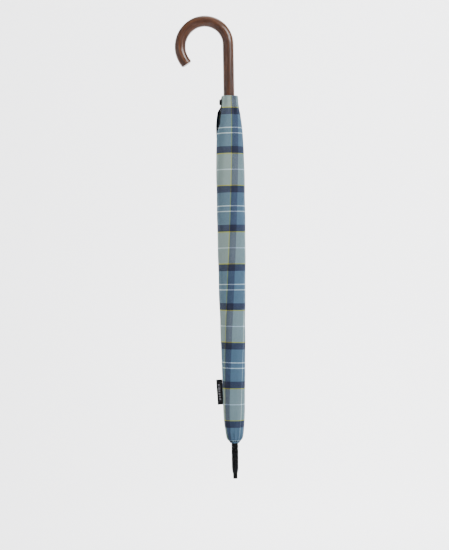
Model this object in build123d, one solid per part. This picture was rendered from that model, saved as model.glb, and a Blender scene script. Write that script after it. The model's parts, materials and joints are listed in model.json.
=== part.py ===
from build123d import *

import math
import os

# Stick umbrella: crook handle, eight ribs on a steel shaft, and a matching fabric sleeve over the
# furled canopy. Millimetres. +Z runs up the shaft from the flat end of the ferrule, the crook curls
# towards -X, and the front is -Y.

# Shaft
TUBE_R = 5.0
TUBE_WALL = 0.8
TUBE_LOW_Z = 52.0
TUBE_TOP_Z = 758.0
SLIP = 0.06  # radial clearance of running fits
GLUE = 0.05  # radial clearance of fixed, glued or pinned fits
PIN_R = 0.8  # pivot pins and rivets
CROSS_PIN_R = 1.0  # handle pin and stop pin

# Crook handle
WOOD_R = 10.5
CROOK_Z = 825.0
CROOK_BENDS = ((44.5, 120.0), (49.0, 94.0))  # radius and turn, tangent to each other
NOSE_STRAIGHT = 7.5
NOSE_FILLET = 3.0
HANDLE_LOW_Z = 688.0
HANDLE_BORE_TOP_Z = 760.0
HANDLE_PIN_Z = 700.0
HANDLE_PIN_LENGTH = 19.0
COLLAR_R = 11.3
COLLAR_HEIGHT = 12.0

# Ferrule and the stack that clamps the canopy's centre
FERRULE_TIP_R = 4.4
FERRULE_TIP_LENGTH = 8.0
FERRULE_TIP_FILLET = 1.6
FERRULE_SHOULDER = ((5.5, 13.6), (6.15, 18.0), (6.4, 25.0))
FERRULE_BASE_R = 6.6
FERRULE_BASE_Z = 60.0
FERRULE_TOP_Z = 76.0
WASHER_R = 9.0
WASHER_Z = (76.2, 78.0)

# Rib frame. Ribs turn on the notch, stretchers join rib and runner, and both arms are equal
RIBS = 8
PIVOT_R = 9.0
NOTCH_Z = 84.0
ARM = 270.0
RIB_END = (13.6, 709.0)  # radius and height of a rib's far end
RIB_BOW = 9.2
OPEN_TRAVEL = 302.6
NOTCH_R = 11.2
NOTCH_HEIGHT = (79.5, 90.0)
SLOT_W = 2.4
SLOT_FLOOR_R = 6.8
NOTCH_PIN_LENGTH = 5.2

# Rib and stretcher sections: U channels with a flat tongue at the pivots
RIB_W = 3.2
RIB_H = 2.6
RIB_WALL = 0.6
TONGUE_T = 2.0
TONGUE_H = 2.6
TONGUE_END_R = 1.7
RIB_CHANNEL_FROM = 10.0
TONGUE_INTO_CHANNEL = 8.0
STRETCHER_W = 4.8
STRETCHER_WALL = 0.6
STRETCHER_WEB = (-2.1, -1.5)
STRETCHER_TOP = 1.3
EAR_BEYOND = 2.0
WEB_TRIM = 6.0
CHANNEL_SHORT = 34.0  # length of the bare tongue, which clears the crown at every angle
RUNNER_TONGUE_R = 1.3
TRUNNION_LENGTH = 4.4
RIVET_LENGTH = 5.4
RIVET_HEAD_R = 1.4
RIVET_HEAD_T = 0.4
TIP_R = 2.2
TIP_LENGTH = 14.0
RIB_TIP_BUTT = 3.0
RIB_TIP_GAP = 0.1
TIP_EYE_R = 0.5

# Runner
RUNNER_BORE_R = TUBE_R + SLIP
RUNNER_R = 7.0
RUNNER_LIP_R = 7.3
RUNNER_LIP_H = 3.0
CROWN_R = 11.5
CROWN_BELOW = 6.0
CROWN_HEIGHT = 12.0
RUNNER_LENGTH = 56.0
CROWN_SLOT_FLOOR_R = 7.3
T_CHANNEL = (7.9, 10.1)
T_CHANNEL_W = 5.0
STOP_PIN_DROP = 6.0
STOP_PIN_LENGTH = 15.0

# Spring catches, set between two ribs
CATCH_AZIMUTH = -67.5
CATCH_T = 1.4
CATCH_DEPTH_R = -1.2  # the leaf reaches past the shaft's centre
CATCH_NOSE_R = 7.2
CATCH_NOSE_LENGTH = 11.0
CATCH_LENGTH = 30.0
CATCH_LEAF_R = 3.9
CATCH_SLOT_W = 1.8
WINDOW_W = 2.6
WINDOW_LENGTH = 13.0
WINDOW_ABOVE_CROWN = 12.0  # from the crown's top face to the window's lower end
CATCH_IN_WINDOW = 1.0

# Soft goods, drawn as plain shells
CANOPY_GAP = 0.4
CANOPY_T = 1.6
CANOPY_SLIT = 0.7  # degrees left open at each edge of a panel
CANOPY_TOP_Z = 700.0
CANOPY_SHOULDER_Z = 100.0
CANOPY_NECK_R = 6.2
CANOPY_NECK_Z = (78.3, 79.2)  # the layer clamped between washer and notch
SLEEVE_T = 0.7
SLEEVE_OUTLINE = (
    (7.6, 68.0),
    (9.9, 72.6),
    (14.4, 80.0),
    (18.7, 104.0),
    (21.0, 150.0),
    (23.4, 210.0),
    (25.6, 350.0),
    (26.8, 560.0),
    (26.1, 625.0),
    (22.6, 685.0),
    (16.6, 726.0),
)
LABEL = (10.0, 48.0, 1.0)  # length out of the seam, height, thickness
LABEL_PLACE = (-28.0, 165.0)
LABEL_TILT = 3.0
STRAP_RIB = 6
STRAP = (9.0, 90.0, 0.8)  # width, length, thickness
STRAP_LOW_Z = 560.0
STRAP_GAP = 0.3
SNAP_R = 4.2
SNAP_T = 1.0
SNAP_FROM_END = 14.0

RIB_CHORD = math.dist((PIVOT_R, NOTCH_Z), RIB_END)
RIB_ARC_R = ((RIB_CHORD / 2) ** 2 + RIB_BOW**2) / (2 * RIB_BOW)


def rib_centre():
    """Centre of the rib's arc, in the plane of radius and height."""
    mid_r, mid_z = (PIVOT_R + RIB_END[0]) / 2, (NOTCH_Z + RIB_END[1]) / 2
    along = ((RIB_END[0] - PIVOT_R) / RIB_CHORD, (RIB_END[1] - NOTCH_Z) / RIB_CHORD)
    inward = RIB_ARC_R - RIB_BOW
    return mid_r - along[1] * inward, mid_z + along[0] * inward


CENTRE_R, CENTRE_Z = rib_centre()


def rib_angle(z):
    """Angle on the rib's arc, in radians, at a height."""
    return math.asin((z - CENTRE_Z) / RIB_ARC_R)


def rib_point(angle, outward=0.0):
    """Radius and height of a point on the rib's arc, or outward of it."""
    reach = RIB_ARC_R + outward
    return CENTRE_R + reach * math.cos(angle), CENTRE_Z + reach * math.sin(angle)


def arm_pivot():
    """The rivet's place on the rib, one arm along it from the notch."""
    low, high = rib_angle(NOTCH_Z), rib_angle(RIB_END[1])
    for _ in range(60):
        mid = (low + high) / 2
        if math.dist(rib_point(mid), (PIVOT_R, NOTCH_Z)) < ARM:
            low = mid
        else:
            high = mid
    return rib_point(low)


ARM_R, ARM_Z = arm_pivot()
RUNNER_Z = NOTCH_Z + 2 * (ARM_Z - NOTCH_Z)  # height of the stretchers' inner pivots
CROWN_LOW_Z = RUNNER_Z - CROWN_BELOW
CROWN_TOP_Z = CROWN_LOW_Z + CROWN_HEIGHT
WINDOW_LOW_Z = CROWN_TOP_Z + WINDOW_ABOVE_CROWN


def cylinder(radius, low, high):
    """Cylinder about the Z axis between two heights."""
    return Pos(0, 0, (low + high) / 2) * Cylinder(radius, high - low)


def cross_pin(radius, length, at, along=(0, 1, 0)):
    """Cylinder with its middle at a point and its axis along a direction."""
    plane = Plane(origin=at, z_dir=along)
    return plane * Cylinder(radius, length)


def block(r_range, width, z_range):
    """Box that runs along +X between two radii, centred on Y = 0."""
    size = (r_range[1] - r_range[0], width, z_range[1] - z_range[0])
    middle = Pos(sum(r_range) / 2, 0, sum(z_range) / 2)
    return middle * Box(*size)


def around(shape, count=RIBS):
    """The shape repeated round the shaft."""
    return [Rot(0, 0, 360 / count * i) * shape for i in range(count)]


def cut_all(shape, tools):
    for tool in tools:
        shape = shape - tool
    return shape


def crook_handle():
    wood = cylinder(WOOD_R, HANDLE_LOW_Z, CROOK_Z)
    place, turned = Vector(0, 0, CROOK_Z), 0.0
    for radius, turn in CROOK_BENDS:
        inward = Vector(-math.cos(turned), 0, -math.sin(turned))
        centre = place + inward * radius
        section = Plane(origin=place, z_dir=(-math.sin(turned), 0, math.cos(turned))) * Circle(WOOD_R)
        wood = wood + revolve(section, Axis(tuple(centre), (0, -1, 0)), turn)
        turned += math.radians(turn)
        place = centre + Vector(math.cos(turned), 0, math.sin(turned)) * radius
    heading = Vector(-math.sin(turned), 0, math.cos(turned))
    wood = wood + extrude(Plane(origin=place, z_dir=tuple(heading)) * Circle(WOOD_R), NOSE_STRAIGHT)
    nose = place + heading * NOSE_STRAIGHT
    rim = min(wood.edges().filter_by(GeomType.CIRCLE), key=lambda e: (e.arc_center - nose).length)
    wood = fillet(rim, NOSE_FILLET)
    wood = wood - cylinder(TUBE_R + GLUE, HANDLE_LOW_Z - 1, HANDLE_BORE_TOP_Z)
    return wood - cross_pin(CROSS_PIN_R + GLUE, 3 * WOOD_R, (0, 0, HANDLE_PIN_Z))


def handle_collar():
    low = HANDLE_LOW_Z - COLLAR_HEIGHT
    ring = cylinder(COLLAR_R, low, HANDLE_LOW_Z)
    ring = fillet(ring.edges().group_by(Axis.Z)[0], RIB_WALL)
    return ring - cylinder(TUBE_R + GLUE, low - 1, HANDLE_LOW_Z + 1)


def handle_pin():
    return cross_pin(CROSS_PIN_R, HANDLE_PIN_LENGTH, (0, 0, HANDLE_PIN_Z))


def catch_slot(low, high):
    """Slot in the shaft's front wall for a catch."""
    slot = block((0, TUBE_R + 1), CATCH_SLOT_W, (low, high))
    return Rot(0, 0, CATCH_AZIMUTH) * slot


def shaft_tube():
    tube = cylinder(TUBE_R, TUBE_LOW_Z, TUBE_TOP_Z)
    tube = tube - cylinder(TUBE_R - TUBE_WALL, TUBE_LOW_Z - 1, TUBE_TOP_Z + 1)
    for nose_low in (closed_catch_z(), open_catch_z()):
        nose_high = nose_low + CATCH_NOSE_LENGTH
        tube = tube - catch_slot(nose_low - CATCH_IN_WINDOW, nose_high + CATCH_IN_WINDOW)
    tube = tube - cross_pin(CROSS_PIN_R + GLUE, 4 * TUBE_R, (0, 0, HANDLE_PIN_Z))
    return tube - cross_pin(CROSS_PIN_R + GLUE, 4 * TUBE_R, (0, 0, stop_pin_z()))


def stop_pin_z():
    return CROWN_LOW_Z - OPEN_TRAVEL - STOP_PIN_DROP


def stop_pin():
    return cross_pin(CROSS_PIN_R, STOP_PIN_LENGTH, (0, 0, stop_pin_z()))


def closed_catch_z():
    """Lowest height of the nose of the catch that holds the closed runner."""
    return WINDOW_LOW_Z + CATCH_IN_WINDOW


def open_catch_z():
    return closed_catch_z() - OPEN_TRAVEL


def catch(nose_low):
    """Flat spring with a sloping nose that stands out of the shaft's slot into the runner's window."""
    nose_top = nose_low + CATCH_NOSE_LENGTH
    leaf_low = nose_top - CATCH_LENGTH
    outline = Polyline(
        (CATCH_DEPTH_R, leaf_low),
        (CATCH_LEAF_R, leaf_low),
        (CATCH_LEAF_R, nose_low),
        (CATCH_NOSE_R, nose_low),
        (CATCH_NOSE_R, nose_low + CATCH_NOSE_LENGTH / 3),
        (CATCH_LEAF_R, nose_top),
        (CATCH_DEPTH_R + CATCH_T, nose_top),
        (CATCH_LEAF_R - CATCH_T, nose_low),
        (CATCH_LEAF_R - CATCH_T, leaf_low + CATCH_T),
        (CATCH_DEPTH_R, leaf_low + CATCH_T),
        close=True,
    )
    plate = extrude(Plane.XZ * make_face(outline), CATCH_T / 2, both=True)
    return Rot(0, 0, CATCH_AZIMUTH) * plate


def ferrule():
    outline = Polyline(
        (0, 0),
        (FERRULE_TIP_R, 0),
        (FERRULE_TIP_R, FERRULE_TIP_LENGTH + FERRULE_TIP_FILLET),
        *FERRULE_SHOULDER,
        (FERRULE_BASE_R, FERRULE_BASE_Z),
        (FERRULE_BASE_R, FERRULE_TOP_Z),
        (0, FERRULE_TOP_Z),
        close=True,
    )
    spike = revolve(Plane.XZ * make_face(outline), Axis.Z)
    spike = fillet(spike.edges().group_by(Axis.Z)[0], FERRULE_TIP_FILLET)
    return spike - cylinder(TUBE_R + GLUE, TUBE_LOW_Z, FERRULE_TOP_Z + 1)


def canopy_washer():
    disc = cylinder(WASHER_R, *WASHER_Z)
    return disc - cylinder(TUBE_R + GLUE, WASHER_Z[0] - 1, WASHER_Z[1] + 1)


def top_notch():
    ring = cylinder(NOTCH_R, *NOTCH_HEIGHT)
    ring = ring - cylinder(TUBE_R + GLUE, NOTCH_HEIGHT[0] - 1, NOTCH_HEIGHT[1] + 1)
    slot = block((SLOT_FLOOR_R, NOTCH_R + 1), SLOT_W, (NOTCH_HEIGHT[0] - 1, NOTCH_HEIGHT[1] + 1))
    ring = cut_all(ring, around(slot))
    return cut_all(ring, around(cross_pin(PIN_R, NOTCH_PIN_LENGTH, (PIVOT_R, 0, NOTCH_Z))))


def notch_pins():
    return Compound(children=around(cross_pin(PIN_R, NOTCH_PIN_LENGTH, (PIVOT_R, 0, NOTCH_Z))))


def runner():
    crown = cylinder(CROWN_R, CROWN_LOW_Z, CROWN_TOP_Z)
    top = CROWN_LOW_Z + RUNNER_LENGTH
    body = crown + cylinder(RUNNER_R, CROWN_TOP_Z, top) + cylinder(RUNNER_LIP_R, top - RUNNER_LIP_H, top)
    body = body - cylinder(RUNNER_BORE_R, CROWN_LOW_Z - 1, top + 1)
    heights = (CROWN_LOW_Z - 1, CROWN_TOP_Z)
    slot = block((CROWN_SLOT_FLOOR_R, CROWN_R + 1), SLOT_W, heights)
    slot = slot + block(T_CHANNEL, T_CHANNEL_W, heights)
    body = cut_all(body, around(slot))
    window = block((0, RUNNER_LIP_R + 1), WINDOW_W, (WINDOW_LOW_Z, WINDOW_LOW_Z + WINDOW_LENGTH))
    return body - Rot(0, 0, CATCH_AZIMUTH) * window


def rib_section_plane(angle):
    r, z = rib_point(angle)
    outward = (math.cos(angle), 0, math.sin(angle))
    along = (-math.sin(angle), 0, math.cos(angle))
    return Plane(origin=(r, 0, z), x_dir=outward, z_dir=along)


def u_section(low, high, half_width, wall, web_high):
    """U channel outline: open at the low side when web_high, else at the high side."""
    inner = half_width - wall
    shut, mouth = (high, low) if web_high else (low, high)
    floor = shut - wall if web_high else shut + wall
    return make_face(
        Polyline(
            (mouth, -half_width),
            (shut, -half_width),
            (shut, half_width),
            (mouth, half_width),
            (mouth, inner),
            (floor, inner),
            (floor, -inner),
            (mouth, -inner),
            close=True,
        )
    )


def tongue(plane, length, end_r, height, low=None):
    """Flat tongue from a pivot at the plane's origin along its Z, rounded round the pivot."""
    low = -height / 2 if low is None else low
    eye = plane * Rot(90, 0, 0) * Cylinder(end_r, TONGUE_T)
    bar = plane * Pos(low + height / 2, 0, length / 2) * Box(height, TONGUE_T, length)
    return eye + bar


def rib():
    start = rib_angle(NOTCH_Z + RIB_CHANNEL_FROM)
    end = rib_angle(RIB_END[1] - RIB_TIP_BUTT)
    section = u_section(-RIB_H / 2, RIB_H / 2, RIB_W / 2, RIB_WALL, web_high=True)
    axis = Axis((CENTRE_R, 0, CENTRE_Z), (0, -1, 0))
    channel = revolve(rib_section_plane(start) * section, axis, math.degrees(end - start))
    start_plane = rib_section_plane(rib_angle(NOTCH_Z))
    length = RIB_CHANNEL_FROM + TONGUE_INTO_CHANNEL
    bar = channel + tongue(start_plane, length, TONGUE_END_R, TONGUE_H - RIB_WALL, -TONGUE_H / 2)
    bar = bar - cross_pin(PIN_R + GLUE, 2 * SLOT_W, (PIVOT_R, 0, NOTCH_Z))
    return bar - cross_pin(PIN_R + GLUE, 2 * RIB_W, (ARM_R, 0, ARM_Z))


def rib_tip():
    low = RIB_END[1] - RIB_TIP_BUTT + RIB_TIP_GAP
    cap = Pos(RIB_END[0], 0, low + (TIP_LENGTH - TIP_R) / 2) * Cylinder(TIP_R, TIP_LENGTH - TIP_R)
    cap = cap + Pos(RIB_END[0], 0, low + TIP_LENGTH - TIP_R) * Sphere(TIP_R)
    return cap - cross_pin(TIP_EYE_R, 3 * TIP_R, (RIB_END[0], 0, low + TIP_LENGTH - TIP_R))


def stretcher_plane():
    """Origin on the rivet, Z along the stretcher to the runner, X outward."""
    along = Vector(PIVOT_R - ARM_R, 0, RUNNER_Z - ARM_Z).normalized()
    return Plane(origin=(ARM_R, 0, ARM_Z), x_dir=(along.Z, 0, -along.X), z_dir=along)


def stretcher():
    plane = stretcher_plane()
    section = u_section(
        STRETCHER_WEB[0], STRETCHER_TOP, STRETCHER_W / 2, STRETCHER_WALL, web_high=False
    )
    channel = extrude(plane.offset(-EAR_BEYOND) * section, ARM - CHANNEL_SHORT + EAR_BEYOND)
    trim_w = STRETCHER_W - 2 * STRETCHER_WALL
    trim_l = WEB_TRIM + EAR_BEYOND
    trim = plane * Pos(STRETCHER_WEB[0], 0, trim_l / 2 - EAR_BEYOND) * Box(2, trim_w, trim_l)
    far_end = plane.offset(ARM)
    back = Plane(origin=far_end.origin, x_dir=far_end.x_dir, z_dir=-far_end.z_dir)
    length = CHANNEL_SHORT + TONGUE_INTO_CHANNEL
    tongue_bar = tongue(back, length, RUNNER_TONGUE_R, TONGUE_H, -RUNNER_TONGUE_R)
    step = plane * Pos(STRETCHER_WEB[0] + RIB_WALL, 0, ARM - CHANNEL_SHORT - TONGUE_INTO_CHANNEL / 2)
    foot = step * Box(2 * RIB_WALL, TONGUE_T, TONGUE_INTO_CHANNEL)
    bar = channel - trim + tongue_bar + foot
    bar = bar + cross_pin(PIN_R, TRUNNION_LENGTH, (PIVOT_R, 0, RUNNER_Z))
    return bar - cross_pin(PIN_R, 2 * STRETCHER_W, (ARM_R, 0, ARM_Z))


def rivet():
    shank = cross_pin(PIN_R, RIVET_LENGTH, (ARM_R, 0, ARM_Z))
    for side in (-1, 1):
        y = side * (STRETCHER_W + RIVET_HEAD_T) / 2
        shank = shank + cross_pin(RIVET_HEAD_R, RIVET_HEAD_T, (ARM_R, y, ARM_Z))
    return shank


def canopy_arc(offset):
    """Three points of the furled canopy's edge, outward of the ribs and concentric with them."""
    heights = (CANOPY_SHOULDER_Z, (CANOPY_SHOULDER_Z + CANOPY_TOP_Z) / 2, CANOPY_TOP_Z)
    return [rib_point(rib_angle(z), offset) for z in heights]


def canopy_panel():
    inner = canopy_arc(RIB_H / 2 + CANOPY_GAP)
    outer = canopy_arc(RIB_H / 2 + CANOPY_GAP + CANOPY_T)
    low, high = CANOPY_NECK_Z
    inside, outside = inner[0][0], outer[0][0]
    outline = [
        ThreePointArc(*outer),
        Line(outer[-1], inner[-1]),
        ThreePointArc(*reversed(inner)),
        Polyline(
            inner[0],
            (inside, high),
            (CANOPY_NECK_R, high),
            (CANOPY_NECK_R, low),
            (NOTCH_R, low),
            (outside, NOTCH_Z),
            outer[0],
        ),
    ]
    spread = 360 / RIBS - 2 * CANOPY_SLIT
    return Rot(0, 0, CANOPY_SLIT) * revolve(Plane.XZ * make_face(outline), Axis.Z, spread)


def sleeve():
    outer = list(SLEEVE_OUTLINE)
    inner = [(r - SLEEVE_T, z) for r, z in outer]
    outline = [
        Spline(*outer),
        Line(outer[-1], inner[-1]),
        Spline(*reversed(inner)),
        Line(inner[0], outer[0]),
    ]
    return revolve(Plane.XZ * make_face(outline), Axis.Z)


def sleeve_label():
    reach, height, thickness = LABEL
    return Pos(LABEL_PLACE[0], 0, LABEL_PLACE[1]) * Rot(0, -LABEL_TILT, 0) * Box(reach, thickness, height)


def strap_radius():
    """Inner radius of the tie strap, outside the furled canopy at its fattest place under the strap."""
    reach = rib_point(rib_angle(STRAP_LOW_Z), RIB_H / 2 + CANOPY_GAP + CANOPY_T)[0]
    return reach + STRAP_GAP


def tie_strap():
    width, length, thickness = STRAP
    inner = strap_radius()
    return block((inner, inner + thickness), width, (STRAP_LOW_Z, STRAP_LOW_Z + length))


def tie_snap():
    face = strap_radius() + STRAP[2]
    middle = (face + SNAP_T / 2, 0, STRAP_LOW_Z + STRAP[1] - SNAP_FROM_END)
    return cross_pin(SNAP_R, SNAP_T, middle, (1, 0, 0))


def placed(shape, number):
    """A shape turned from the +X direction to its rib's place; rib 1 lies over +X."""
    return Rot(0, 0, 360 / RIBS * (number - 1)) * shape


def parts():
    made = {
        "crook_handle": crook_handle(),
        "handle_collar": handle_collar(),
        "handle_pin": handle_pin(),
        "shaft_tube": shaft_tube(),
        "stop_pin": stop_pin(),
        "closed_catch": catch(closed_catch_z()),
        "open_catch": catch(open_catch_z()),
        "ferrule": ferrule(),
        "canopy_washer": canopy_washer(),
        "top_notch": top_notch(),
        "notch_pins": notch_pins(),
        "runner": runner(),
        "sleeve": sleeve(),
        "sleeve_label": sleeve_label(),
        "tie_strap": placed(tie_strap(), STRAP_RIB),
        "tie_snap": placed(tie_snap(), STRAP_RIB),
    }
    repeated = {
        "rib": rib(),
        "rib_tip": rib_tip(),
        "stretcher": stretcher(),
        "rivet": rivet(),
        "canopy_panel": canopy_panel(),
    }
    for name, shape in repeated.items():
        for number in range(1, RIBS + 1):
            made[f"{name}_{number}"] = placed(shape, number)
    return made


def main():
    os.makedirs("parts", exist_ok=True)
    for name, shape in parts().items():
        export_step(shape, f"parts/{name}.step")
    print("runner pivot height", round(RUNNER_Z, 3), "rivet at", round(ARM_R, 3), round(ARM_Z, 3))


main()
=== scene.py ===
"""Stick umbrella in a matching check sleeve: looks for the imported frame. Metres, +Z up the shaft."""

import json
import math

import bmesh
import bpy
import numpy as np
from mathutils import Matrix, Vector


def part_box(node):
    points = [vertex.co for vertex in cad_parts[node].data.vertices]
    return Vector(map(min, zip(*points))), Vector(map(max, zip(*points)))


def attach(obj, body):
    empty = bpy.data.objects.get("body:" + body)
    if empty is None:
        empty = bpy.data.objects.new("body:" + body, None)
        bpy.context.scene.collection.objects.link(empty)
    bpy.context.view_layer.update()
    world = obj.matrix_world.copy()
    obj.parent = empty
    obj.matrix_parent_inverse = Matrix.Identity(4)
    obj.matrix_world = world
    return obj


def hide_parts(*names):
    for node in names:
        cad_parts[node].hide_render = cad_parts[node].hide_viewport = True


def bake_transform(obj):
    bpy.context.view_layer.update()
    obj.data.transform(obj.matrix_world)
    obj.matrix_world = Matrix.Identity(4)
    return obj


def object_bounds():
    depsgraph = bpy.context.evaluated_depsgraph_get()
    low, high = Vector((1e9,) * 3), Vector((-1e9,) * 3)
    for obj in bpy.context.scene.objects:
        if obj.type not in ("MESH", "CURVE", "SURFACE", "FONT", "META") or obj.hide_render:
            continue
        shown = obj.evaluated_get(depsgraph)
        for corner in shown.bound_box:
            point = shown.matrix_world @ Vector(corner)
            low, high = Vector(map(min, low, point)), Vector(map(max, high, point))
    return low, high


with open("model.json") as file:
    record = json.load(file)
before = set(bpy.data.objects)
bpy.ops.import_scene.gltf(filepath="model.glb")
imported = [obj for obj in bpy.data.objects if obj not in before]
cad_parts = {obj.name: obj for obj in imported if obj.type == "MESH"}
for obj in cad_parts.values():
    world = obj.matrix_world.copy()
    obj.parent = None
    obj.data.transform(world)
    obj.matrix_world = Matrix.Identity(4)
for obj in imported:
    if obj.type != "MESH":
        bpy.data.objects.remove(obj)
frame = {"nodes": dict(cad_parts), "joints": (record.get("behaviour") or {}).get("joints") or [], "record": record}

CAD_LOW, CAD_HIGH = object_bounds()
JOINTS = {joint["name"]: joint for joint in frame["joints"]}
NODES = frame["nodes"]
MM = 0.001
RIBS = 8

# Places read from the frame
SLEEVE_LOW, SLEEVE_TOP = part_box("sleeve")[0].z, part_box("sleeve")[1].z
WOOD_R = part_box("crook_handle")[1].y
RIB_LOW, RIB_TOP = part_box("rib_1")[0].z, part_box("rib_1")[1].z
NOTCH_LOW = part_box("top_notch")[0].z
HINGE = Vector(JOINTS["rib_1_hinge"]["pos_m"])
RIB_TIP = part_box("rib_tip_1")[0].z
FORK_Z = JOINTS["stretcher_1_hinge"]["pos_m"][2]

# The check: where each stripe of one half repeat starts, in millimetres from the middle of the light
# ground outward, and the threads' colours
REPEAT = 0.149
HALF_SETT = (
    (0.0, "pale"),
    (0.6, "light"),
    (29.4, "yellow"),
    (31.3, "navy"),
    (43.7, "blue"),
    (68.2, "pale"),
    (70.3, "blue"),
)
THREADS = {
    "light": (0.208, 0.275, 0.255),
    "blue": (0.056, 0.108, 0.168),
    "navy": (0.0120, 0.0150, 0.0350),
    "pale": (0.62, 0.80, 0.88),
    "yellow": (0.40, 0.39, 0.035),
}
THREAD_PITCH = 0.00042

# Where the check sits on the sleeve, which is pulled on a little askew. The warp wanders round by
# WARP_WANDER between the heights of WARP_SPAN. Above WEFT_SLACK_FROM the cloth hangs slack, so its
# weft stripes lie closer together by the share WEFT_SLACK
WARP_START = 0.0262
WARP_WANDER = 0.032
WARP_SPAN = (0.72, -0.05)
WEFT_ZERO = 0.1419  # height of a light ground's middle on the sleeve
WEFT_SLACK = 0.0078
WEFT_SLACK_FROM = 0.14

# Sleeve: half width of the filled sleeve against height
SLEEVE_OUTLINE = (
    (0.0670, 0.0072),
    (0.0682, 0.0085),
    (0.0705, 0.0094),
    (0.0722, 0.0110),
    (0.0748, 0.0134),
    (0.0800, 0.0153),
    (0.1000, 0.0185),
    (0.1150, 0.0199),
    (0.1310, 0.0208),
    (0.1550, 0.0213),
    (0.1900, 0.0221),
    (0.2350, 0.0234),
    (0.3000, 0.0243),
    (0.3600, 0.0253),
    (0.5000, 0.0267),
    (0.5750, 0.0271),
    (0.6170, 0.0268),
    (0.6400, 0.0258),
    (0.6650, 0.0245),
    (0.6900, 0.0220),
    (0.7050, 0.0193),
    (0.7260, 0.0168),
)
# Seam: degrees round from the front, left being -90, against height
SEAM_PATH = ((0.066, -88), (0.13, -88), (0.165, -84), (0.225, -68), (0.29, -84), (0.64, -92), (0.73, -92))
SLIT_LOW = 0.648
SLEEVE_THICKNESS = 0.00045
SLEEVE_COLUMNS, SLEEVE_ROWS = 200, 330
GATHER_Z = 0.0722
STITCH_PITCH = 0.0034

# Label: folded woven tape, caught in the seam
LABEL_HEIGHT, LABEL_LENGTH, LABEL_THICKNESS = 0.048, 0.0116, 0.0007
LABEL_TILT = math.radians(3.0)
LABEL_CAUGHT = 0.45  # share of its length that lies behind the seam's line
LABEL_BARS = (-0.30, -0.25, -0.19, -0.155, -0.09, -0.05, 0.01, 0.05, 0.11, 0.15, 0.20, 0.26, 0.30)

# Canopy
GORE_ROWS, GORE_COLUMNS = 44, 25
GORE_CLEAR = 0.0014  # how far a gore stands proud of the ribs' outside
HEM_HOLLOW = 0.028  # how far the hem curves in between two rib tips


def smooth_curve(points):
    """A function through the points, with a slope at each that never overshoots."""
    x, y = (np.array(v, float) for v in zip(*points))
    h = np.diff(x)
    d = np.diff(y) / h
    slope = np.zeros_like(y)
    for i in range(1, len(x) - 1):
        if d[i - 1] * d[i] > 0:
            a, b = 2 * h[i] + h[i - 1], h[i] + 2 * h[i - 1]
            slope[i] = (a + b) / (a / d[i - 1] + b / d[i])
    slope[0], slope[-1] = d[0], d[-1]

    def curve(t):
        t = np.clip(np.asarray(t, float), x[0], x[-1])
        i = np.clip(np.searchsorted(x, t, side="right") - 1, 0, len(x) - 2)
        s = (t - x[i]) / h[i]
        blend = (1 + 2 * s) * (1 - s) ** 2 * y[i] + s * (1 - s) ** 2 * h[i] * slope[i]
        return blend + s * s * (3 - 2 * s) * y[i + 1] + s * s * (s - 1) * h[i] * slope[i + 1]

    return curve


def ramp(t, low, high):
    """0 before low, 1 after high, smooth between; low may be above high."""
    s = np.clip((np.asarray(t, float) - low) / (high - low), 0, 1)
    return s * s * (3 - 2 * s)


def bump(t, middle, width):
    """1 at middle, falling off smoothly over width."""
    return np.exp(-(((np.asarray(t, float) - middle) / width) ** 2))


# ---------------------------------------------------------------- shaders


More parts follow.
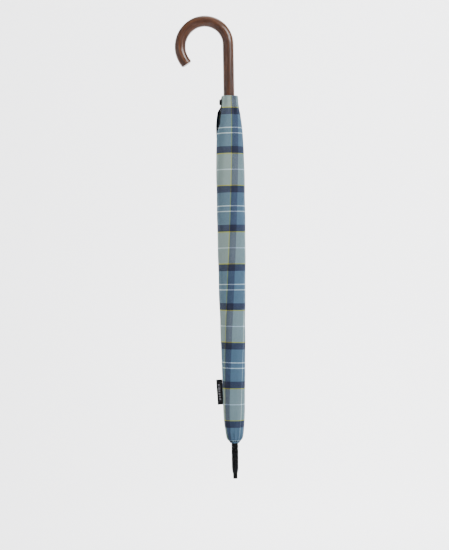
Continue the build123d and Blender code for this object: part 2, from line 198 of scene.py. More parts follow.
class Shader:
    """A material and short ways to add nodes to it."""

    def __init__(self, name, roughness=0.5, metallic=0.0, **inputs):
        self.material = bpy.data.materials.new(name)
        self.material.use_nodes = True
        self.tree = self.material.node_tree
        self.surface = next(n for n in self.tree.nodes if n.type == "BSDF_PRINCIPLED")
        self.set(Roughness=roughness, Metallic=metallic, **inputs)
        self._object = None

    def set(self, **inputs):
        for key, value in inputs.items():
            self.surface.inputs[key.replace("_", " ")].default_value = value

    def node(self, kind, *links, **settings):
        made = self.tree.nodes.new(f"ShaderNode{kind}")
        for key, value in settings.items():
            setattr(made, key, value)
        for index, value in enumerate(links):
            self.feed(made.inputs[index], value)
        return made

    def feed(self, socket, value):
        if isinstance(value, bpy.types.NodeSocket):
            self.tree.links.new(value, socket)
        elif value is not None:
            socket.default_value = value

    def math(self, operation, a, b=None, c=None):
        return self.node("Math", a, b, c, operation=operation).outputs[0]

    def object_place(self):
        if self._object is None:
            self._object = self.node("TexCoord").outputs["Object"]
        return self._object

    def split(self, vector):
        return self.node("SeparateXYZ", vector).outputs

    def join(self, x, y, z):
        return self.node("CombineXYZ", x, y, z).outputs[0]

    def scaled(self, vector, factors):
        made = self.node("VectorMath", vector, operation="MULTIPLY")
        made.inputs[1].default_value = factors
        return made.outputs[0]

    def noise(self, vector, scale, detail=3.0, roughness=0.55):
        made = self.node("TexNoise", vector)
        made.inputs["Scale"].default_value = scale
        made.inputs["Detail"].default_value = detail
        made.inputs["Roughness"].default_value = roughness
        return made.outputs["Fac"]

    def colours(self, factor, stops, interpolation="LINEAR"):
        made = self.node("ValToRGB", factor)
        band = made.color_ramp
        band.interpolation = interpolation
        while len(band.elements) < len(stops):
            band.elements.new(1.0)
        for element, (place, _) in zip(band.elements, stops):
            element.position = place
        for element, (_, colour) in zip(band.elements, stops):
            element.color = (*colour, 1.0)
        return made.outputs["Color"]

    def mix_colours(self, factor, a, b):
        made = self.node("Mix", data_type="RGBA")
        for index, value in ((0, factor), (6, a), (7, b)):
            self.feed(made.inputs[index], value)
        return made.outputs[2]

    def mix_numbers(self, factor, a, b):
        made = self.node("Mix", data_type="FLOAT")
        for index, value in ((0, factor), (2, a), (3, b)):
            self.feed(made.inputs[index], value)
        return made.outputs[0]

    def remap(self, value, low, high, to_low, to_high):
        return self.node("MapRange", value, low, high, to_low, to_high).outputs[0]

    def colour(self, socket):
        self.feed(self.surface.inputs["Base Color"], socket)

    def rough(self, socket):
        self.feed(self.surface.inputs["Roughness"], socket)

    def bumps(self, height, strength, distance):
        made = self.node("Bump")
        made.inputs["Strength"].default_value = strength
        made.inputs["Distance"].default_value = distance
        self.feed(made.inputs["Height"], height)
        self.feed(self.surface.inputs["Normal"], made.outputs[0])


def sett_stops():
    """Colour stops of a whole repeat, as fractions: the half sett and its mirror image."""
    full = REPEAT / MM
    there = [(start / full, THREADS[name]) for start, name in HALF_SETT]
    stripes = zip(HALF_SETT, HALF_SETT[1:])
    back = [((full - end) / full, THREADS[name]) for (_, name), (end, _) in stripes]
    return there + back[::-1]


def check_cloth(name, roughness, sheen):
    """Plain-woven check. The cloth attribute holds metres along the weft (x) and the warp (y)."""
    shader = Shader(name, roughness=roughness, Sheen_Weight=sheen, Sheen_Roughness=0.5)
    shader.set(Specular_IOR_Level=0.18)
    place = shader.node("Attribute", attribute_name="cloth").outputs["Vector"]
    across, along, _ = shader.split(place)
    stops = sett_stops()
    threads = []
    for coordinate in (across, along):
        turns = shader.math("FRACT", shader.math("DIVIDE", coordinate, REPEAT))
        threads.append(shader.colours(turns, stops, "CONSTANT"))
    waves = [
        shader.math("SINE", shader.math("MULTIPLY", coordinate, math.tau / (2 * THREAD_PITCH)))
        for coordinate in (across, along)
    ]
    crossing = shader.math("MULTIPLY", *waves)
    # the weft lies on top more than the warp; mixing the threads' colours by powers darkens the mixed colours, a
    # painted shade for the gaps between threads
    weft_share = shader.math("MULTIPLY_ADD", crossing, 0.30, 0.61)
    warp_share = shader.math("SUBTRACT", 1.0, weft_share)
    parts = [shader.node("Gamma", *pair).outputs[0] for pair in zip(threads, (warp_share, weft_share))]
    woven = shader.node("VectorMath", *parts, operation="MULTIPLY").outputs[0]
    slub = shader.noise(shader.scaled(place, (300, 1500, 1)), 1.0)
    fade = shader.noise(shader.scaled(place, (14, 14, 1)), 1.0)
    tone = shader.math("ADD", shader.remap(slub, 0.3, 0.7, 0.84, 1.16), shader.remap(fade, 0, 1, -0.07, 0.07))
    shaded = shader.node("VectorMath", woven, operation="SCALE")
    shader.feed(shaded.inputs["Scale"], tone)
    shader.colour(shaded.outputs[0])
    shader.rough(shader.remap(slub, 0, 1, roughness - 0.06, roughness + 0.08))
    shader.bumps(shader.math("ADD", crossing, slub), 0.35, 0.00006)
    return shader.material


def stained_wood():
    """Bent rod: the grain follows the straight part and the bend of the crook."""
    shader = Shader("stained_wood", roughness=0.30, Specular_IOR_Level=0.45)
    low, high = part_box("crook_handle")
    bend_r = (high.x - low.x) / 2 - WOOD_R
    centre_x, centre_z = (high.x + low.x) / 2, high.z - WOOD_R - bend_r
    x, y, z = shader.split(shader.object_place())
    dx, dz = shader.math("SUBTRACT", x, centre_x), shader.math("SUBTRACT", z, centre_z)
    angle = shader.math("ARCTAN2", dz, dx)
    past = shader.math("LESS_THAN", angle, -math.pi / 2)
    angle = shader.math("MULTIPLY_ADD", past, math.tau, angle)
    reach = shader.math("SQRT", shader.math("ADD", shader.math("POWER", dx, 2), shader.math("POWER", dz, 2)))
    below, right = shader.math("LESS_THAN", dz, 0.0), shader.math("GREATER_THAN", dx, 0.0)
    straight = shader.math("MULTIPLY", below, right)
    along = shader.mix_numbers(straight, shader.math("MULTIPLY", angle, bend_r), dz)
    across = shader.mix_numbers(straight, shader.math("SUBTRACT", reach, bend_r), x)
    grain_place = shader.join(across, y, shader.math("MULTIPLY", along, 0.06))
    figure = shader.noise(grain_place, 150, 4.0, 0.6)
    pores = shader.noise(grain_place, 900, 2.0, 0.5)
    base = shader.colours(
        figure,
        [(0.30, (0.023, 0.0068, 0.0020)), (0.50, (0.060, 0.0185, 0.0055)), (0.72, (0.115, 0.041, 0.013))],
    )
    dark = shader.remap(pores, 0.56, 0.72, 0.0, 0.55)
    shader.colour(shader.mix_colours(dark, base, (0.030, 0.011, 0.007, 1)))
    shader.rough(shader.remap(figure, 0, 1, 0.24, 0.36))
    shader.bumps(pores, 0.10, 0.0001)
    return shader.material


def coated(name, colour, roughness, metallic=0.0, scale=350, spread=0.08, bump_height=0.00004):
    """Painted, moulded or drawn surface: fine mottling in tone, gloss and height."""
    shader = Shader(name, roughness=roughness, metallic=metallic, Specular_IOR_Level=0.14)
    mottle = shader.noise(shader.object_place(), scale, 4.0, 0.6)
    patch = shader.noise(shader.object_place(), scale / 12, 3.0)
    darker = tuple(channel * 0.72 for channel in colour)
    lighter = tuple(min(1.0, channel * 1.25 + 0.002) for channel in colour)
    shader.colour(shader.colours(patch, [(0.3, darker), (0.7, lighter)]))
    shader.rough(shader.remap(mottle, 0.3, 0.7, roughness - spread, roughness + spread))
    shader.bumps(mottle, 0.3, bump_height)
    return shader.material


def drawn_metal(name, colour, roughness):
    """Bare metal with fine lines along the shaft."""
    shader = Shader(name, roughness=roughness, metallic=1.0)
    lines = shader.noise(shader.scaled(shader.object_place(), (4000, 4000, 90)), 1.0, 2.0)
    shader.colour(shader.colours(lines, [(0.3, tuple(c * 0.8 for c in colour)), (0.7, colour)]))
    shader.rough(shader.remap(lines, 0.3, 0.7, roughness - 0.08, roughness + 0.1))
    shader.bumps(lines, 0.15, 0.00003)
    return shader.material


def woven_ribbon(name, colour, roughness=0.75):
    """Narrow woven tape: fine crosswise ribs."""
    shader = Shader(name, roughness=roughness, Specular_IOR_Level=0.15)
    x, _, z = shader.split(shader.object_place())
    weft = shader.math("SINE", shader.math("MULTIPLY", z, math.tau / 0.0006))
    warp = shader.math("SINE", shader.math("MULTIPLY", x, math.tau / 0.0005))
    cloth = shader.math("MULTIPLY", weft, warp)
    tone = shader.remap(cloth, -1, 1, 0.0, 1.0)
    shader.colour(shader.colours(tone, [(0.0, tuple(c * 0.6 for c in colour)), (1.0, colour)]))
    shader.bumps(cloth, 0.4, 0.00008)
    return shader.material


def backdrop():
    """Pale matt wall with faint patches."""
    shader = Shader("backdrop", roughness=0.9)
    patch = shader.noise(shader.object_place(), 0.25, 2.0)
    shader.colour(shader.colours(patch, [(0.3, (0.80, 0.80, 0.81)), (0.7, (0.83, 0.83, 0.84))]))
    return shader.material


MATERIALS = {
    "stained_wood": stained_wood(),
    "check_cloth": check_cloth("check_cloth", 0.82, 0.03),
    "canopy_cloth": check_cloth("canopy_cloth", 0.66, 0.02),
    "collar_metal": coated("collar_metal", (0.020, 0.020, 0.022), 0.32, scale=500),
    "black_steel": coated("black_steel", (0.022, 0.022, 0.024), 0.36, scale=420),
    "ferrule_black": coated("ferrule_black", (0.0035, 0.0035, 0.0038), 0.30, scale=300),
    "black_plastic": coated("black_plastic", (0.018, 0.018, 0.019), 0.46, scale=700, bump_height=0.00006),
    "bright_pin": drawn_metal("bright_pin", (0.62, 0.62, 0.63), 0.30),
    "spring_steel": drawn_metal("spring_steel", (0.46, 0.45, 0.44), 0.34),
    "label_black": woven_ribbon("label_black", (0.012, 0.012, 0.014)),
    "label_mark": woven_ribbon("label_mark", (0.42, 0.42, 0.45)),
    "thread": woven_ribbon("thread", (0.20, 0.27, 0.33)),
    # near-black tape for the dashes of painted shade in the gather's pleats
    "pleat_shade_black": woven_ribbon("pleat_shade_black", (0.015, 0.017, 0.022)),
    "backdrop": backdrop(),
}


# ---------------------------------------------------------------- mesh helpers


def make_object(name, points, faces, material, cloth=None):
    """A smooth-shaded mesh. cloth gives each point its place on the flat check, in metres."""
    mesh = bpy.data.meshes.new(name)
    mesh.from_pydata([tuple(p) for p in points], [], [tuple(f) for f in faces])
    mesh.update()
    if cloth is not None:
        values = np.zeros((len(points), 3), np.float32)
        values[:, :2] = np.asarray(cloth, np.float32)
        layer = mesh.attributes.new("cloth", "FLOAT_VECTOR", "POINT")
        layer.data.foreach_set("vector", values.ravel())
    mesh.polygons.foreach_set("use_smooth", [True] * len(mesh.polygons))
    mesh.materials.append(MATERIALS[material])
    obj = bpy.data.objects.new(name, mesh)
    bpy.context.scene.collection.objects.link(obj)
    return obj


def grid_faces(rows, columns, start=0, flip=False):
    """Faces of an open grid of points."""
    faces = []
    for r in range(rows - 1):
        for c in range(columns - 1):
            a = start + r * columns + c
            face = (a, a + 1, a + columns + 1, a + columns)
            faces.append(face[::-1] if flip else face)
    return faces


def grid_edges(rows, columns):
    """Numbers of the points along the left, right, bottom and top edges of a grid."""
    left = [r * columns for r in range(rows)]
    right = [r * columns + columns - 1 for r in range(rows)]
    return left, right, list(range(columns)), list(range((rows - 1) * columns, rows * columns))


def tube_faces(rings, around):
    """Faces of a closed tube of rings of points, with both ends capped."""
    faces = []
    for r in range(rings - 1):
        for k in range(around):
            a, b = r * around + k, r * around + (k + 1) % around
            faces.append((a, b, b + around, a + around))
    faces.append(tuple(range(around)))
    faces.append(tuple(range((rings - 1) * around, rings * around)))
    return faces


def shell_object(name, outer, inner, cloth, material):
    """Closed shell from two grids of points of the same shape (rows, columns, 3)."""
    rows, columns = outer.shape[:2]
    count = rows * columns
    faces = grid_faces(rows, columns) + grid_faces(rows, columns, count, flip=True)
    left, right, bottom, top = grid_edges(rows, columns)
    for edge, flip in ((left, True), (right, False), (top, True), (bottom, False)):
        for a, b in zip(edge, edge[1:]):
            face = (a, b, b + count, a + count)
            faces.append(face if flip else face[::-1])
    points = np.concatenate([outer.reshape(-1, 3), inner.reshape(-1, 3)])
    uv = np.concatenate([cloth.reshape(-1, 2)] * 2)
    return make_object(name, points, faces, material, uv)


def recalculate(obj):
    """Turn the faces of a closed piece outward."""
    bm = bmesh.new()
    bm.from_mesh(obj.data)
    bmesh.ops.recalc_face_normals(bm, faces=bm.faces)
    bm.to_mesh(obj.data)
    bm.free()
    return obj


def stitches(name, places, material, length=0.0022, radius=0.00022):
    """Short threads: places are (middle, direction along, direction out) triples."""
    points, faces = [], []
    sides, rings = 6, ((-0.5, 0.35), (-0.32, 1.0), (0.32, 1.0), (0.5, 0.35))
    for middle, along, out in places:
        along, out = Vector(along).normalized(), Vector(out).normalized()
        side = along.cross(out)
        base = len(points)
        for place, size in rings:
            for k in range(sides):
                angle = math.tau * k / sides
                around = side * math.cos(angle) + out * math.sin(angle)
                points.append(Vector(middle) + along * place * length + around * radius * size)
        for r in range(len(rings) - 1):
            for k in range(sides):
                a, b = base + r * sides + k, base + r * sides + (k + 1) % sides
                faces.append((a, b, b + sides, a + sides))
        faces.append(tuple(base + k for k in range(sides))[::-1])
        faces.append(tuple(base + (len(rings) - 1) * sides + k for k in range(sides)))
    return recalculate(make_object(name, points, faces, material))


def dress(obj, body, slot, *replaced):
    """Let a piece ride on a body, instead of the CAD nodes it replaces. The slot is not used."""
    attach(obj, body)
    if replaced:
        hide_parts(*replaced)
    return obj


# ---------------------------------------------------------------- camera, light and stage


def add_object(name, data):
    obj = bpy.data.objects.new(name, data)
    bpy.context.scene.collection.objects.link(obj)
    return obj


def camera():
    """Long lens, level, a little below the umbrella's middle and rolled by a degree."""
    distance = 3.023 * (CAD_HIGH.z - CAD_LOW.z)
    lens = bpy.data.cameras.new("camera")
    lens.lens = 91.7
    lens.clip_end = 60
    viewer = add_object("camera", lens)
    viewer.location = (-0.0142, -distance, 0.387)
    viewer.rotation_euler = (math.pi / 2, math.radians(0.95), 0)
    bpy.context.scene.camera = viewer


# name, place, target, size, power, colour
LIGHTS = (
    ("key", (1.45, -1.45, 1.75), (0, 0, 0.72), 0.9, 66, (1.0, 0.985, 0.97)),
    ("fill", (-2.6, -2.4, 0.9), (0, 0, 0.40), 2.4, 10, (0.96, 0.98, 1.0)),
    ("top", (0.3, -0.4, 3.6), (0, 0, 0.3), 2.6, 30, (1.0, 1.0, 1.0)),
    ("wall", (1.6, 2.4, 4.4), (1.2, 8.6, 1.6), 3.5, 1500, (1.0, 1.0, 1.0)),
    ("floor", (0.6, 3.2, 4.6), (0.2, 6.0, -0.6), 3.0, 380, (1.0, 1.0, 1.0)),
)


def light():
    """Soft discs for the umbrella and the bowl, in a dim, slightly blue room."""
    for name, place, target, size, power, colour in LIGHTS:
        lamp = bpy.data.lights.new(name, "AREA")
        lamp.shape, lamp.size, lamp.energy, lamp.color = "DISK", size, power, colour
        holder = add_object(name, lamp)
        holder.location = place
        aim = Vector(target) - Vector(place)
        holder.rotation_euler = aim.to_track_quat("-Z", "Y").to_euler()
    world = bpy.data.worlds.new("world")
    world.use_nodes = True
    sky = world.node_tree.nodes["Background"]
    sky.inputs[0].default_value = (0.93, 0.95, 1.0, 1)
    sky.inputs[1].default_value = 0.55
    bpy.context.scene.world = world


def studio_bowl():
    """Floor that turns up into a round wall far away, so that no edge shows from any side."""
    floor_z, flat_r, wall_r, top = -0.80, 5.0, 9.0, 7.0
    bend_r, bend_steps, around = wall_r - flat_r, 12, 96
    profile = [(0.0, floor_z), (flat_r / 2, floor_z)]
    for k in range(bend_steps + 1):
        angle = math.pi / 2 * k / bend_steps
        profile.append((flat_r + bend_r * math.sin(angle), floor_z + bend_r * (1 - math.cos(angle))))
    profile.append((wall_r, top))
    turns = [math.tau * k / (around - 1) for k in range(around)]
    points = [(r * math.cos(turn), r * math.sin(turn), z) for r, z in profile for turn in turns]
    bowl = make_object("studio_bowl", points, grid_faces(len(profile), around), "backdrop")


# ---------------------------------------------------------------- sleeve


sleeve_r = smooth_curve(SLEEVE_OUTLINE)
seam_degrees = smooth_curve(SEAM_PATH)


def warp_drift(z):
    """Metres that the warp stripes lie round from the front."""
    return WARP_START + WARP_WANDER * ramp(z, *WARP_SPAN)


def weft_drift(z):
    """Metres of slack cloth below a height."""
    return WEFT_SLACK * np.maximum(z - WEFT_SLACK_FROM, 0)


def slit_opening(z):
    """How far the slit at the top of the seam stands open, 0 to 1."""
    return ramp(z, SLIT_LOW - 0.002, 0.676)


def sleeve_surface(turn, z):
    """Points of the sleeve's outside and their angles round it. turn runs from 0 at the seam's
    front edge to 1 at its back edge."""
    seam = np.radians(seam_degrees(z))
    angle = seam + turn * math.tau
    radius = sleeve_r(z)
    # soft lengthwise folds over the ribs and the furled cloth
    folds = 0.00035 * np.sin(3 * angle + 1.3 + 5 * z) + 0.00030 * np.sin(5 * angle - 11 * z)
    folds += 0.00030 * np.sin(8 * angle + 2.0 + 3 * np.sin(7 * z))
    over_forks = 1 - 0.85 * bump(z, FORK_Z, 0.03)
    radius = radius + folds * over_forks * ramp(z, 0.09, 0.16) * ramp(z, SLEEVE_TOP, 0.66)
    # long shallow dents across, where the cloth hangs slack between the ribs
    radius = radius - 0.0004 * np.sin(41 * z + 2 * np.sin(angle + 0.6)) ** 2 * over_forks * ramp(z, 0.12, 0.2)
    # pleats drawn in by the gather round the ferrule
    gather = ramp(z, 0.110, 0.077)
    pleats = np.sin(13 * angle + 0.9 * np.sin(2 * angle + 0.5) + 6 * z)
    radius = radius + (0.0009 - 0.0004 * ramp(z, 0.072, 0.068)) * gather * pleats
    radius = radius - 0.0007 * bump(z, GATHER_Z, 0.0012)
    # cloth falls in towards the mouth in a few upright folds
    mouth = ramp(z, 0.640, 0.712)
    front = np.angle(np.exp(1j * angle))
    radius = radius + 0.0006 * mouth * np.sin(6 * angle + 2.2)
    radius = radius + 0.0016 * mouth * bump(front, math.radians(15), math.radians(5))
    radius = radius - 0.0017 * mouth * bump(front, math.radians(27), math.radians(8))
    # hem at the mouth: doubled cloth
    radius = radius + 0.0004 * ramp(z, SLEEVE_TOP - 0.0095, SLEEVE_TOP - 0.0080)
    # slit: the front edge has drawn back round the front, the back edge stands out and shows its
    # inside; above it the back edge turns away behind
    open_ = slit_opening(z)
    near_front = np.exp(-((turn * 360 / 42) ** 2))
    near_back = np.exp(-(((1 - turn) * 360 / 30) ** 2))
    away = ramp(z, 0.694, 0.710)
    radius = radius - 0.0008 * open_ * near_front + 0.0022 * open_ * near_back * (1 - 1.5 * away)
    angle = angle + math.radians(32) * open_ * near_front
    angle = angle - math.radians(20) * away * near_back
    # seam: a small ridge
    ridge = bump(turn, 0, 0.004) + bump(turn, 1, 0.004)
    radius = radius + 0.0005 * ridge * ramp(z, SLIT_LOW, SLIT_LOW - 0.02)
    return np.stack([radius * np.sin(angle), -radius * np.cos(angle), z], -1), angle


def sleeve_rows():
    """Heights, denser through the gather."""
    gather_top, gather_rows = 0.082, 26
    low = np.linspace(SLEEVE_LOW, gather_top, gather_rows)
    high = np.linspace(gather_top, SLEEVE_TOP, SLEEVE_ROWS - gather_rows + 1)
    return np.concatenate([low, high[1:]])


def sleeve_columns():
    """Denser near the seam and the slit."""
    t = np.linspace(0, 1, SLEEVE_COLUMNS)
    return t - 0.045 * np.sin(math.tau * t)


def sleeve_body():
    z, turn = np.meshgrid(sleeve_rows(), sleeve_columns(), indexing="ij")
    outer, angle = sleeve_surface(turn, z)
    inward = outer * np.array([-1.0, -1.0, 0.0])
    inward /= np.linalg.norm(inward, axis=-1, keepdims=True)
    inner = outer + inward * SLEEVE_THICKNESS
    cloth_r = np.maximum(sleeve_r(z), 0.0225)
    across = cloth_r * angle + warp_drift(z)
    askew = 0.045 * outer[..., 0] * bump(z, 0.25, 0.09)
    along = z - WEFT_ZERO + weft_drift(z) + askew - 0.0034 * ramp(turn, 0.86, 1.0)
    cloth = np.stack([across, along], -1)
    body = shell_object("sleeve_body", outer, inner, cloth, "check_cloth")
    recalculate(body)
    dress(body, "sleeve", "check_cloth", "sleeve")
    return body


def sleeve_place(turn, z, proud=0.0):
    """A point on the sleeve with its directions up, round and out."""
    step = 1e-4
    here, _ = sleeve_surface(np.array(turn), np.array(z))
    above, _ = sleeve_surface(np.array(turn), np.array(z + step))
    beside, _ = sleeve_surface(np.array(turn + step), np.array(z))
    up = Vector(above - here).normalized()
    side = Vector(beside - here).normalized()
    out = side.cross(up).normalized()
    return Vector(here) + out * proud, up, side, out


def sleeve_stitching():
    """Two rows round the hem, one beside each edge of the slit and one down the seam."""
    places = []
    for line_z in (SLEEVE_TOP - 0.0105, SLEEVE_TOP - 0.0015):
        count = int(math.tau * float(sleeve_r(line_z)) / STITCH_PITCH)
        for k in range(count):
            middle, _, side, out = sleeve_place(0.03 + 0.94 * k / (count - 1), line_z, 0.00012)
            places.append((middle, side, out))
    slit_lines = [(turn, SLIT_LOW + 0.004, SLEEVE_TOP - 0.012) for turn in (0.018, 0.982)]
    for turn, low, high in (*slit_lines, (0.012, 0.085, SLIT_LOW - 0.004)):
        for z in np.arange(low, high, STITCH_PITCH):
            middle, up, _, out = sleeve_place(turn, float(z), 0.00012)
            places.append((middle, up, out))
    return dress(stitches("sleeve_stitching", places, "thread"), "sleeve", "check_cloth")


def painted_pleat_shade():
    """Dark dashes round the gather above the rim: painted shade for the hollows of the pleats."""
    places, count = [], 17
    for k in range(count):
        middle, _, side, out = sleeve_place(0.01 + 0.98 * k / count, GATHER_Z, 0.0001)
        places.append((middle, side, out))
    made = stitches("painted_pleat_shade", places, "pleat_shade_black", length=0.0034, radius=0.0010)
    return dress(made, "sleeve", "label_black")


def slit_binding():
    """Black tape folded over both edges of the slit."""
    tape_width, steps = 0.0032, 60
    # across the tape: share of its width in from the edge, height over the cloth
    profile = ((1.0, 0.0003), (0.35, 0.00055), (0.0, 0.0004), (-0.08, -0.0002), (0.0, -0.0009), (1.0, -0.0009))
    for name, turn, way in (("front", 0.0, 1), ("back", 1.0, -1)):
        points = []
        for z in np.linspace(SLIT_LOW, SLEEVE_TOP - 0.001, steps):
            edge, _, side, out = sleeve_place(turn, float(z))
            points += [edge + side * way * width * tape_width + out * height for width, height in profile]
        faces = tube_faces(steps, len(profile))
        obj = recalculate(make_object(f"slit_binding_{name}", points, faces, "label_black"))
        dress(obj, "sleeve", "label_black")


def slit_tab():
    """Black tape folded into a small tab, caught in the hem at the top of the slit."""
    height, width, depth = 0.0118, 0.0050, 0.0026
    middle = Vector((-0.0168, -0.0035, 0.7145))
    squareness, crease_width = 0.55, 0.0006
    rings, around = 14, 24
    points = []
    for r in range(rings):
        t = r / (rings - 1)
        level = -math.cos(math.pi * t)
        swell = max(1 - level**6, 0.0) ** 0.5 * 0.96 + 0.04
        pinch = 1 - 0.18 * ramp(t, 0.55, 0.0)
        for k in range(around):
            a = math.tau * k / around
            x = math.copysign(abs(math.cos(a)) ** squareness, math.cos(a)) * width / 2 * swell * pinch
            y = math.copysign(abs(math.sin(a)) ** squareness, math.sin(a)) * depth / 2 * swell
            y *= 1 - 0.45 * math.exp(-((x / crease_width) ** 2))
            points.append(middle + Vector((x + 0.0006 * t, y, level * height / 2)))
    made = recalculate(make_object("slit_tab", points, tube_faces(rings, around), "label_black"))
    return dress(made, "sleeve", "label_black")


def label_belly(u, v):
    """Half the label's thickness: the fold stands open in the middle."""
    return LABEL_THICKNESS / 2 * (1 + 0.9 * math.sin(math.pi * u) * (1 - 2 * v * v))


def label_wave(u, v):
    """How far the label waves forward, more towards its fold."""
    return 0.0011 * u * math.sin(2.4 * v * math.pi + 0.7)


def sleeve_label():
    """Woven label caught in the seam, folded once, with a plain woven mark."""
    low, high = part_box("sleeve_label")
    centre = Vector(((low.x + high.x) / 2 + 0.0020, 0, (low.z + high.z) / 2))
    along = Vector((-math.sin(LABEL_TILT), 0, math.cos(LABEL_TILT)))
    out = Vector((-math.cos(LABEL_TILT), 0, -math.sin(LABEL_TILT)))
    columns, rows = 12, 26
    points = []
    for side in (-1, 1):
        for r in range(rows):
            v = r / (rows - 1) - 0.5
            for c in range(columns):
                u = c / (columns - 1)
                belly = label_belly(u, v) * (0.45 if c == columns - 1 else 1)
                place = centre + along * v * LABEL_HEIGHT + out * (u - LABEL_CAUGHT) * LABEL_LENGTH
                points.append(place + Vector((0, side * belly + label_wave(u, v), 0)))
    count = rows * columns
    faces = grid_faces(rows, columns) + grid_faces(rows, columns, count, flip=True)
    for edge in grid_edges(rows, columns):
        faces += [(a, b, b + count, a + count) for a, b in zip(edge, edge[1:])]
    label = recalculate(make_object("woven_label", points, faces, "label_black"))
    dress(label, "sleeve", "label_black", "sleeve_label")
    label_mark(centre, along, out)


def label_mark(centre, along, out):
    """A row of short woven bars on both sides of the label."""
    bars = []
    for v in LABEL_BARS:
        middle = centre + along * v * LABEL_HEIGHT + out * (0.56 - LABEL_CAUGHT) * LABEL_LENGTH
        for side in (-1, 1):
            lift = side * (label_belly(0.5, v) - 0.0002) + label_wave(0.52, v)
            bars.append((middle + Vector((0, lift, 0)), out, (0, side, 0)))
    made = stitches("label_mark", bars, "label_mark", length=0.0046, radius=0.00055)
    return dress(made, "sleeve", "label_black")


# ---------------------------------------------------------------- canopy


def joint_turn(name, share=1.0):
    """Matrix of a hinge turned to a share of its largest angle."""
    joint = JOINTS[name]
    angle = math.radians(max(joint["range_deg"], key=abs)) * share
    pivot = Matrix.Translation(Vector(joint["pos_m"]))
    return pivot @ Matrix.Rotation(angle, 4, Vector(joint["axis"])) @ pivot.inverted()


def rib_line(number):
    """Outer edge of a rib at rest, from its mesh: radius against height."""
    co = np.array([v.co for v in NODES[f"rib_{number}"].data.vertices], float)
    radius = np.hypot(co[:, 0], co[:, 1])
    edge = []
    for z in np.linspace(RIB_LOW + 0.012, RIB_TOP - 0.004, 24):
        near = np.abs(co[:, 2] - z) < 0.02
        if near.any():
            edge.append((float(z), float(np.max(radius[near]))))
    return smooth_curve(edge)


def moved(matrix, points):
    """Points carried by a 4 x 4 matrix."""
    m = np.array(matrix, float)
    return points @ m[:3, :3].T + m[:3, 3]


def turned_back(joint_name, share, points):
    """Points turned back round a hinge by a share of its angle, one share per point."""
    joint = JOINTS[joint_name]
    axis, pivot = np.array(joint["axis"], float), np.array(joint["pos_m"], float)
    angle = -math.radians(max(joint["range_deg"], key=abs)) * share
    p = points - pivot
    c, s = np.cos(angle)[:, None], np.sin(angle)[:, None]
    return pivot + p * c + np.cross(axis, p) * s + axis * (p @ axis)[:, None] * (1 - c)


def drawn_in(folded):
    """Radii of the folded cloth, drawn in until it lies inside the sleeve, and the radii before."""
    reach = np.hypot(folded[..., 0], folded[..., 1])
    limit = np.minimum(sleeve_r(folded[..., 2]) - 0.0022, 0.0242)
    limit = limit - 0.0035 * ramp(folded[..., 2], 0.635, 0.670)
    ribs_r = reach[:, :1]
    middle = reach[:, GORE_COLUMNS // 2][:, None]
    room = limit[:, GORE_COLUMNS // 2][:, None]
    squeeze = np.clip((room - ribs_r) / np.maximum(middle - ribs_r, 1e-6), 0.02, 1.0)
    return np.minimum(ribs_r + (reach - ribs_r) * squeeze, np.maximum(limit, ribs_r)), reach


def canopy_gore(number):
    """One gore between two ribs. It is laid out on the open frame and folded back into the sleeve."""
    following = number % RIBS + 1
    here, there = joint_turn(f"rib_{number}_hinge"), joint_turn(f"rib_{following}_hinge")
    azimuth = math.tau / RIBS * (number - 1)
    share = np.linspace(0, 1, GORE_COLUMNS)
    heights = np.linspace(HINGE.z + 0.003, RIB_TIP - 0.002, GORE_ROWS)
    # further out over the washer and over the forks of the stretchers
    clear = GORE_CLEAR + 0.0030 * ramp(heights, HINGE.z + 0.085, HINGE.z + 0.015)
    clear = clear + 0.0020 * bump(heights, FORK_Z, 0.015)
    radius = rib_line(1)(heights) + clear

    def spoke(angle, turn):
        points = np.stack([radius * math.cos(angle), radius * math.sin(angle), heights], -1)
        return moved(turn, points)

    left, right = spoke(azimuth, here), spoke(azimuth + math.tau / RIBS, there)
    flat = left[:, None] * (1 - share)[None, :, None] + right[:, None] * share[None, :, None]
    # the hem curves in between the rib tips
    pull = (HEM_HOLLOW * 4 * share * (1 - share))[None, :] * ramp(heights, 0.3, RIB_TIP)[:, None]
    towards = flat[0].mean(0) - flat
    towards /= np.maximum(np.linalg.norm(towards, axis=-1, keepdims=True), 1e-6)
    flat = flat + towards * pull[..., None]
    weights = np.broadcast_to(share, flat.shape[:2]).reshape(-1)
    folded = moved(here.inverted(), flat.reshape(-1, 3))
    folded = turned_back(f"canopy_{number}_turn", weights, folded).reshape(flat.shape)
    target, reach = drawn_in(folded)
    outer = folded.copy()
    outer[..., :2] *= (target / reach)[..., None]
    inner = outer.copy()
    inner[..., :2] *= ((target - 0.0003) / target)[..., None]
    width = np.linalg.norm(right - left, axis=-1)
    across = (share - 0.5)[None, :] * width[:, None]
    along = (heights - HINGE.z)[:, None] - pull - 0.02
    cloth = np.stack([across, along], -1)
    gore = shell_object(f"canopy_gore_{number}", outer, inner, cloth, "canopy_cloth")
    recalculate(gore)
    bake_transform(gore)
    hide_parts(f"canopy_panel_{number}")
    return gore


def canopy_rosette():
    """Round patch of the same cloth between washer and notch, over the gores' points."""
    # radius, height over the notch's lower face
    rings = ((0.0062, -0.0016), (0.0090, -0.0015), (0.0108, -0.0012), (0.0118, -0.0006), (0.0122, 0.0003))
    around, edge_r = 64, rings[-1][0]
    outer, cloth = [], []
    for r, dz in rings:
        for k in range(around + 1):
            angle = math.tau * k / around
            wave = 1 + 0.012 * math.sin(16 * angle) * (r / edge_r)
            outer.append((r * wave * math.cos(angle), r * wave * math.sin(angle), NOTCH_LOW + dz))
            cloth.append((r * math.cos(angle), r * math.sin(angle)))
    shape = (len(rings), around + 1)
    outer = np.array(outer).reshape(*shape, 3)
    inner = outer + np.array([0, 0, 0.0004])
    inner[..., :2] *= 0.985
    made = shell_object("canopy_rosette", outer, inner, np.array(cloth).reshape(*shape, 2), "canopy_cloth")
    return dress(recalculate(made), "shaft", "canopy_cloth")


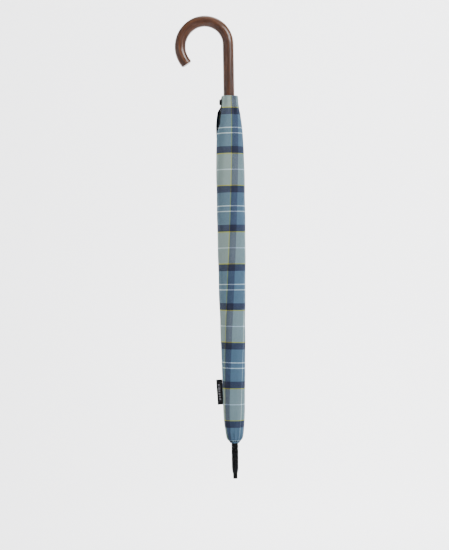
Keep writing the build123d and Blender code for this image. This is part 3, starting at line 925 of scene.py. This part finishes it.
def tie_strap():
    """Closing strap: doubled cloth with a rounded end, stitched round its edge."""
    low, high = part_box("tie_strap")
    middle = (low + high) / 2
    out = Vector((middle.x, middle.y, 0)).normalized()
    side = Vector((0, 0, 1)).cross(out)
    length, half, thickness = high.z - low.z, 0.0045, 0.0008
    inner_r = Vector((middle.x, middle.y, 0)).length - thickness / 2
    rows, columns = 46, 9
    grids = {1: [], -1: []}
    cloth = []
    for r in range(rows):
        z = low.z + length * r / (rows - 1)
        end = max(0.0, z - (high.z - half))
        width = math.sqrt(max(half * half - end * end, 1e-9))
        for c in range(columns):
            s = 2 * c / (columns - 1) - 1
            edge = 0.35 if abs(s) > 0.95 else 1.0
            for layer in (1, -1):
                depth = inner_r + thickness / 2 * (1 + layer * edge)
                grids[layer].append(out * depth + side * s * width + Vector((0, 0, z)))
            cloth.append((s * width + 0.03, z))
    shape = (rows, columns)
    outer, inner = (np.array(grids[k]).reshape(*shape, 3) for k in (1, -1))
    made = shell_object("strap", outer, inner, np.array(cloth).reshape(*shape, 2), "check_cloth")
    dress(recalculate(made), "rib_6", "check_cloth", "tie_strap")
    places = []
    for s in (-0.0034, 0.0034):
        for z in np.arange(low.z + 0.004, high.z - 0.006, STITCH_PITCH):
            place = out * (inner_r + thickness + 0.0001) + side * s + Vector((0, 0, float(z)))
            places.append((place, (0, 0, 1), out))
    return dress(stitches("strap_stitching", places, "thread"), "rib_6", "check_cloth")


# ---------------------------------------------------------------- carried-over CAD nodes


def dress_cad_nodes():
    """Materials for the hard CAD pieces; the soft ones are replaced by the pieces above."""
    slots = {entry["node"]: entry["material_slot"] for entry in frame["record"]["subparts"]}
    soft = {"check_cloth", "canopy_cloth", "label_black"}
    for name, node in NODES.items():
        if slots[name] in soft:
            continue
        material = MATERIALS[slots[name]]
        if node.material_slots:
            for slot in node.material_slots:
                slot.material = material
        else:
            node.data.materials.append(material)


def main():
    camera()
    light()
    studio_bowl()
    dress_cad_nodes()
    body = sleeve_body()
    sleeve_stitching()
    # dark dashes round the gather: painted shade in the pleats' hollows
    painted_pleat_shade()
    slit_binding()
    slit_tab()
    sleeve_label()
    for number in range(1, RIBS + 1):
        canopy_gore(number)
    canopy_rosette()
    tie_strap()


main()
